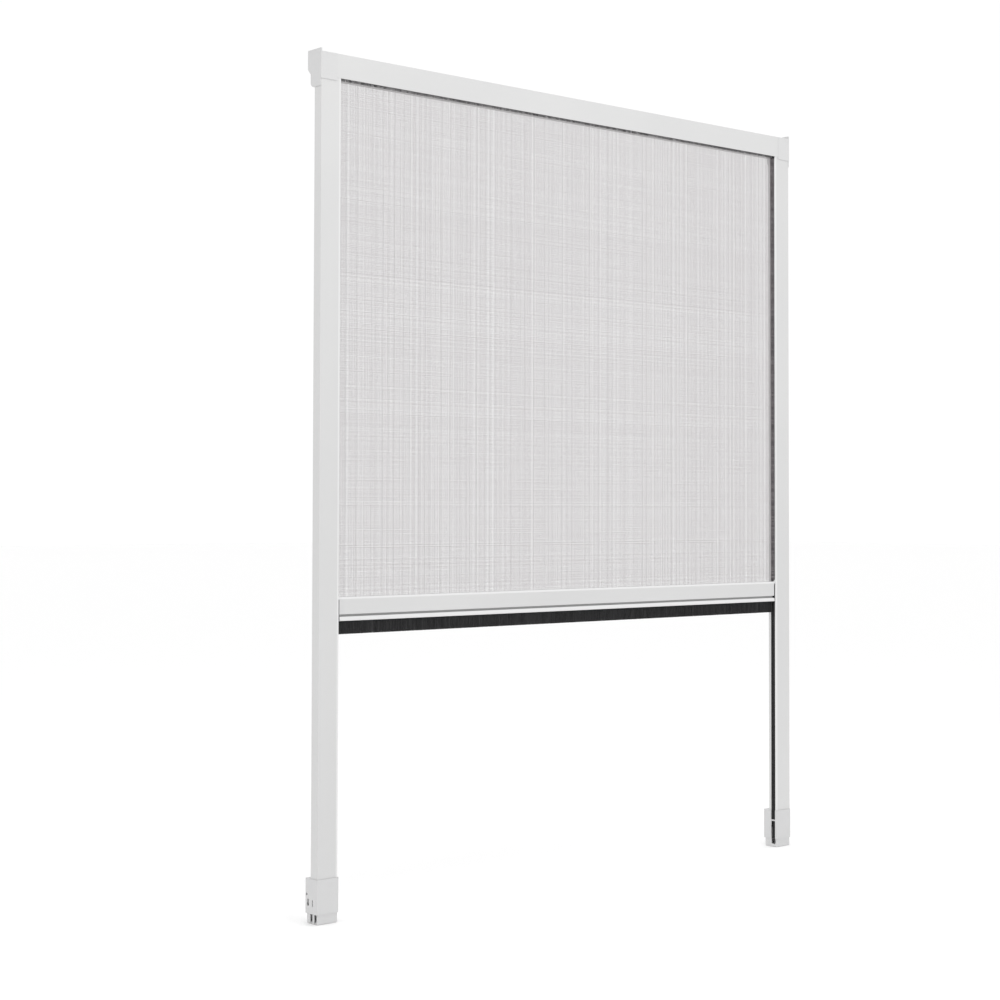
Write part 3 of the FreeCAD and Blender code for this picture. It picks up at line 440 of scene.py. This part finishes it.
# End caps. Each is moulded in white plastic as one hollow piece, plugs into the rail below
# and into the cassette beside it, and carries one end of the roller on a boss.
finish_nodes(moulded_white, "end_cap_left", "end_cap_right")


# Cassette. A thin-walled aluminium extrusion with the rails' white powder coat, cut to the
# window's width. Its thin brush closes the slot that the net comes out of.
finish_nodes(powder_coating("cassette_coat"), "cassette_housing")

THIN_HALF_PILE = 0.001
THIN_PILE_BACK = 0.0012
THIN_CORE_INSET = 0.0004
THIN_CORE_DROP = 0.001
low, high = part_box("cassette_brush")
middle_y = (low.y + high.y) / 2
pile_front, pile_rear = middle_y - THIN_HALF_PILE, middle_y + THIN_HALF_PILE
back_z = high.z - THIN_PILE_BACK
brush("cassette_pile", "cassette_brush", "frame",
      ((low.x, low.y, back_z), (high.x, high.y, high.z)),
      ((low.x, pile_front + THIN_CORE_INSET, back_z - THIN_CORE_DROP),
       (high.x, pile_rear - THIN_CORE_INSET, back_z)),
      level_root(low.x, high.x, pile_front, pile_rear, back_z), back_z - low.z, DOWN, 1.8e6, 7)


# Roller. A bare aluminium tube on two black plastic plugs. The zinc-plated shaft on the left
# stands still and holds the spring's anchor, and the pin on the right turns with its plug.
mill_aluminium = new_material("mill_aluminium", (0.75, 0.76, 0.77), 0.3, metallic=1.0)
vary(mill_aluminium, "Roughness", noise(mill_aluminium, 900.0, stretch=(0.02, 1.0, 1.0)),
     0.22, 0.42)
finish_nodes(mill_aluminium, "roller_tube")

plug_plastic = new_material("plug_plastic", (0.03, 0.03, 0.03), 0.5)
vary(plug_plastic, "Roughness", noise(plug_plastic, 200.0), 0.42, 0.6)
emboss(plug_plastic, noise(plug_plastic, 2000.0), 0.00002)
finish_nodes(plug_plastic, "roller_plug_left", "roller_plug_right", "spring_anchor")

zinc_plate = new_material("zinc_plate", (0.6, 0.6, 0.58), 0.35, metallic=1.0)
vary(zinc_plate, "Roughness", noise(zinc_plate, 300.0), 0.28, 0.45)
finish_nodes(zinc_plate, "spring_shaft", "roller_pin")
finish_nodes(spring_steel, "torsion_spring")


# Net. Glass-fibre yarn coated in grey plastic, woven to a mesh with openings of about one
# and a half millimetres. It hangs from the roller's front and ends in the slit of the bar,
# and is made in strips, so that it is drawn out evenly wherever the bar stands.
net_fibre = fibre_material("net_fibre", (0.28, 0.255, 0.265), 0.6,
                           (0.12, 0.1, 0.11), (0.48, 0.45, 0.46))

yarn_tree, yarn_in, yarn_out = node_tree("yarns", [
    ("Count", "NodeSocketInt", 10), ("Start", "NodeSocketVector", None),
    ("Pitch", "NodeSocketVector", None), ("Length", "NodeSocketFloat", 1.0),
    ("Turn", "NodeSocketVector", None), ("Wander", "NodeSocketVector", None),
    ("Thin", "NodeSocketFloat", 0.00008), ("Thick", "NodeSocketFloat", 0.00015),
    ("Repeat", "NodeSocketFloat", 9.0), ("Seed", "NodeSocketInt", 1),
    ("Finish", "NodeSocketMaterial", None)])
row = step(yarn_tree, "GeometryNodeMeshLine", Count=yarn_in["Count"],
           Start_Location=yarn_in["Start"], Offset=yarn_in["Pitch"])
wander_back = step(yarn_tree, "ShaderNodeVectorMath", {"operation": "SCALE"},
                   Vector=yarn_in["Wander"], Scale=-1.0)
wandering = random_value(yarn_tree, "FLOAT_VECTOR", wander_back.outputs["Vector"],
                         yarn_in["Wander"], yarn_in["Seed"])
laid = step(yarn_tree, "GeometryNodeSetPosition", Geometry=row.outputs["Mesh"], Offset=wandering)
yarn = step(yarn_tree, "GeometryNodeMeshCylinder", Vertices=4, Radius=1.0,
            Depth=yarn_in["Length"])

REGULAR_PART, RANDOM_PART = 0.5, 2.0
yarn_number = step(yarn_tree, "GeometryNodeInputIndex").outputs["Index"]
turn_of_repeat = calculate(yarn_tree, "MULTIPLY",
                           calculate(yarn_tree, "DIVIDE", yarn_number, yarn_in["Repeat"]),
                           math.tau)
regular = calculate(yarn_tree, "MULTIPLY", calculate(yarn_tree, "SINE", turn_of_repeat),
                    REGULAR_PART)
uneven = calculate(yarn_tree, "ADD", regular,
                   random_value(yarn_tree, "FLOAT", -RANDOM_PART, RANDOM_PART, yarn_in["Seed"]))
yarn_width = step(yarn_tree, "ShaderNodeMapRange", Value=uneven,
                  From_Min=-REGULAR_PART - RANDOM_PART, From_Max=REGULAR_PART + RANDOM_PART,
                  To_Min=yarn_in["Thin"], To_Max=yarn_in["Thick"]).outputs["Result"]
yarn_scale = step(yarn_tree, "ShaderNodeCombineXYZ", X=yarn_width, Y=yarn_width, Z=1.0)
strung = step(yarn_tree, "GeometryNodeInstanceOnPoints", Points=laid.outputs["Geometry"],
              Instance=yarn.outputs["Mesh"], Rotation=yarn_in["Turn"],
              Scale=yarn_scale.outputs["Vector"])
yarns = shade_each(yarn_tree, strung.outputs["Instances"], yarn_in["Seed"])
close_tree(yarn_tree, join(yarn_tree, yarn_in["Geometry"], yarns), yarn_in["Finish"], yarn_out)

WARP_PITCH = 0.0254 / 18
WEFT_PITCH = 0.0254 / 16
YARN_LAYER = 0.0001
YARN_WANDER = 0.0003
UPRIGHT = (0.0, 0.0, 0.0)
LEVEL = (0.0, math.pi / 2, 0.0)
STRIP_SHARES = (0.0, 0.03, 0.1, 0.25, 0.75, 0.9, 0.97, 1.0)  # of the drop, from the bar up
net_low, net_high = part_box("insect_net")
net_y = (net_low.y + net_high.y) / 2
net_width, net_drop = net_high.x - net_low.x, net_high.z - net_low.z


weft_borders = [round(share * int(net_drop / WEFT_PITCH)) for share in STRIP_SHARES]
strip_borders = [net_low.z + wefts * WEFT_PITCH for wefts in weft_borders[:-1]] + [net_high.z]
for strip in range(len(STRIP_SHARES) - 1):
    strip_low, strip_high = strip_borders[strip:strip + 2]
    strip_drop = strip_high - strip_low
    net = new_piece(f"woven_net_{strip + 1}")
    grow(net, yarn_tree, Count=int(net_width / WARP_PITCH),
         Start=(net_low.x + WARP_PITCH / 2, net_y - YARN_LAYER, (strip_low + strip_high) / 2),
         Pitch=(WARP_PITCH, 0.0, 0.0), Length=strip_drop, Turn=UPRIGHT,
         Wander=(YARN_WANDER, 0.0, 0.0), Thin=0.00005, Thick=0.00036, Repeat=9.0, Seed=11,
         Finish=net_fibre)
    grow(net, yarn_tree, Count=weft_borders[strip + 1] - weft_borders[strip],
         Start=(0.0, net_y + YARN_LAYER, strip_low + WEFT_PITCH / 2),
         Pitch=(0.0, 0.0, WEFT_PITCH), Length=net_width, Turn=LEVEL,
         Wander=(0.0, 0.0, YARN_WANDER), Thin=0.0001, Thick=0.00031, Repeat=5.0,
         Seed=13 + strip, Finish=net_fibre)
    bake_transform(net)
    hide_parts("insect_net")

wound_net = new_material("wound_net", (0.14, 0.14, 0.145), 0.7)
windings = noise(wound_net, 1200.0, stretch=(1.0, 0.1, 0.1))
vary(wound_net, "Base Color", windings, (0.1, 0.1, 0.1), (0.2, 0.2, 0.2))
emboss(wound_net, windings, 0.0001)
finish_nodes(wound_net, "net_roll")


# Pull bar. A white powder-coated extrusion whose ends are closed by moulded plastic blocks, with
# a painted highlight on its bevel and lip and painted shade in its groove. A black cord holds
# the net in its slit, and a long brush hangs from its underside.
# Greys of the painted highlight on the bar's bevel and of the painted shade in its groove.
BEVEL_HIGHLIGHT_GREY = 0.73
GROOVE_PAINTED_SHADE = 0.4
BEVEL_HEIGHT = 0.005
BEVEL_DEPTH = 0.0021
BEVEL_EDGE = 0.0003
BEVEL_PLAIN = 0.0012      # lower part of the bevel, left without the painted highlight
GROOVE_HEIGHT = 0.004
GROOVE_DEPTH = 0.005
GROOVE_MOUTH = 0.0008
LIP_HEIGHT = 0.008
LIP_OUT = 0.0018
LIP_FRONT = 0.004
LIP_BACK = 0.001
bar_low, bar_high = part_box("pull_bar")
face_y = bar_low.y + LIP_OUT
groove_z = bar_low.z + LIP_HEIGHT
bar_coat, bar_end_white = powder_coating("bar_coat"), moulding("bar_end_white")
for white in (bar_coat, bar_end_white):
    # Painted highlight on the upward-facing bevel.
    bevel_highlight = region(white, y=(face_y - OUTSIDE, face_y + BEVEL_DEPTH),
                   z=(bar_high.z - BEVEL_HEIGHT + BEVEL_PLAIN, bar_high.z + OUTSIDE),
                   edge=BEVEL_EDGE)
    tint(white, bevel_highlight, BEVEL_HIGHLIGHT_GREY)
    # Painted shade in the groove.
    groove_shade = region(white, y=(face_y + GROOVE_MOUTH, face_y + GROOVE_DEPTH + INTO_WALL),
                    z=(groove_z - INTO_WALL, groove_z + GROOVE_HEIGHT + INTO_WALL))
    tint(white, groove_shade, GROOVE_PAINTED_SHADE)
    # Painted highlight on the rounded lip.
    lip_highlight = region(white, y=(face_y - LIP_FRONT, face_y + LIP_BACK),
                 z=(bar_low.z - OUTSIDE, groove_z), edge=SOFT_EDGE)
    tint(white, lip_highlight, ROUNDED_EDGE_HIGHLIGHT)
finish_nodes(bar_coat, "pull_bar")
finish_nodes(bar_end_white, "bar_end_left", "bar_end_right")

black_cord = new_material("black_cord", (0.03, 0.03, 0.03), 0.85)
vary(black_cord, "Base Color", noise(black_cord, 300.0),
     (0.025, 0.025, 0.025), (0.045, 0.045, 0.045))
finish_nodes(black_cord, "net_spline")

BAR_CORE_END = 0.001
BAR_CORE_SHORT = 0.0015
low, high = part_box("bar_brush")
middle_y = (low.y + high.y) / 2
pile_front, pile_rear = middle_y - HALF_PILE, middle_y + HALF_PILE
brush("bar_pile", "bar_brush", "bar",
      ((bar_low.x, low.y, high.z - PILE_BACK), (bar_high.x, high.y, high.z)),
      ((low.x + BAR_CORE_END, pile_front + CORE_INSET, low.z + BAR_CORE_SHORT),
       (high.x - BAR_CORE_END, pile_rear - CORE_INSET, bar_low.z)),
      level_root(low.x, high.x, pile_front, pile_rear, bar_low.z), bar_low.z - low.z,
      DOWN, 4.2e6, 9)


# Studio. A pale floor under an even white sky, with a soft light overhead, a weaker one in
# front and one on each side. The camera stands front left at half the screen's height.
FLOOR_HALF = 30
floor = new_piece("studio_floor",
                  [(-FLOOR_HALF, -FLOOR_HALF, 0), (FLOOR_HALF, -FLOOR_HALF, 0),
                   (FLOOR_HALF, FLOOR_HALF, 0), (-FLOOR_HALF, FLOOR_HALF, 0)], [(0, 1, 2, 3)])
floor_paint = new_material("floor_paint", (0.985, 0.985, 0.985), 0.8)
vary(floor_paint, "Roughness", noise(floor_paint, 2.0), 0.75, 0.85)
floor.data.materials.append(floor_paint)

world = bpy.data.worlds.new("studio")
world.use_nodes = True
sky = world.node_tree.nodes["Background"]
sky.inputs["Color"].default_value = (1.0, 1.0, 1.0, 1.0)
sky.inputs["Strength"].default_value = 1.01
bpy.context.scene.world = world
bpy.context.scene.view_settings.view_transform = "Standard"

SOFTBOXES = (  # name, place, aim, size, power
    ("front_softbox", (-0.15, -1.6, 1.7), (0, 0, 1.4), 1.2, 4.0),
    ("overhead_softbox", (-0.1, -1.0, 3.6), (0, 0, 1.0), 1.5, 11.0),
    ("right_softbox", (3.0, -0.3, 1.2), (-0.3, 0, 1.2), 1.2, 6.0),
    ("left_softbox", (-2.3, 0.8, 1.8), (-0.65, 0, 1.4), 1.0, 1.8),
)
for name, place, aim, size, power in SOFTBOXES:
    softbox = bpy.data.objects.new(name, bpy.data.lights.new(name, "AREA"))
    softbox.data.size = size
    softbox.data.energy = power
    softbox.location = place
    towards = Vector(aim) - softbox.location
    softbox.rotation_euler = towards.to_track_quat("-Z", "Y").to_euler()
    softbox.visible_camera = False
    bpy.context.scene.collection.objects.link(softbox)

CAMERA_PLACE = Vector((-2.7066, -2.9070, 0.7601))
CAMERA_YAW = 0.71217
CAMERA_PITCH = 0.03037
CAMERA_ROLL = 0.00224
camera = bpy.data.objects.new("camera", bpy.data.cameras.new("camera"))
camera.data.sensor_width = 36.0
camera.data.lens = 69.77
camera.data.shift_y = -0.0530
camera.data.clip_end = 200.0
camera.matrix_world = (Matrix.Translation(CAMERA_PLACE)
                       @ Matrix.Rotation(-CAMERA_YAW, 4, "Z")
                       @ Matrix.Rotation(math.pi / 2 + CAMERA_PITCH, 4, "X")
                       @ Matrix.Rotation(CAMERA_ROLL, 4, "Z"))
bpy.context.scene.collection.objects.link(camera)
bpy.context.scene.camera = camera
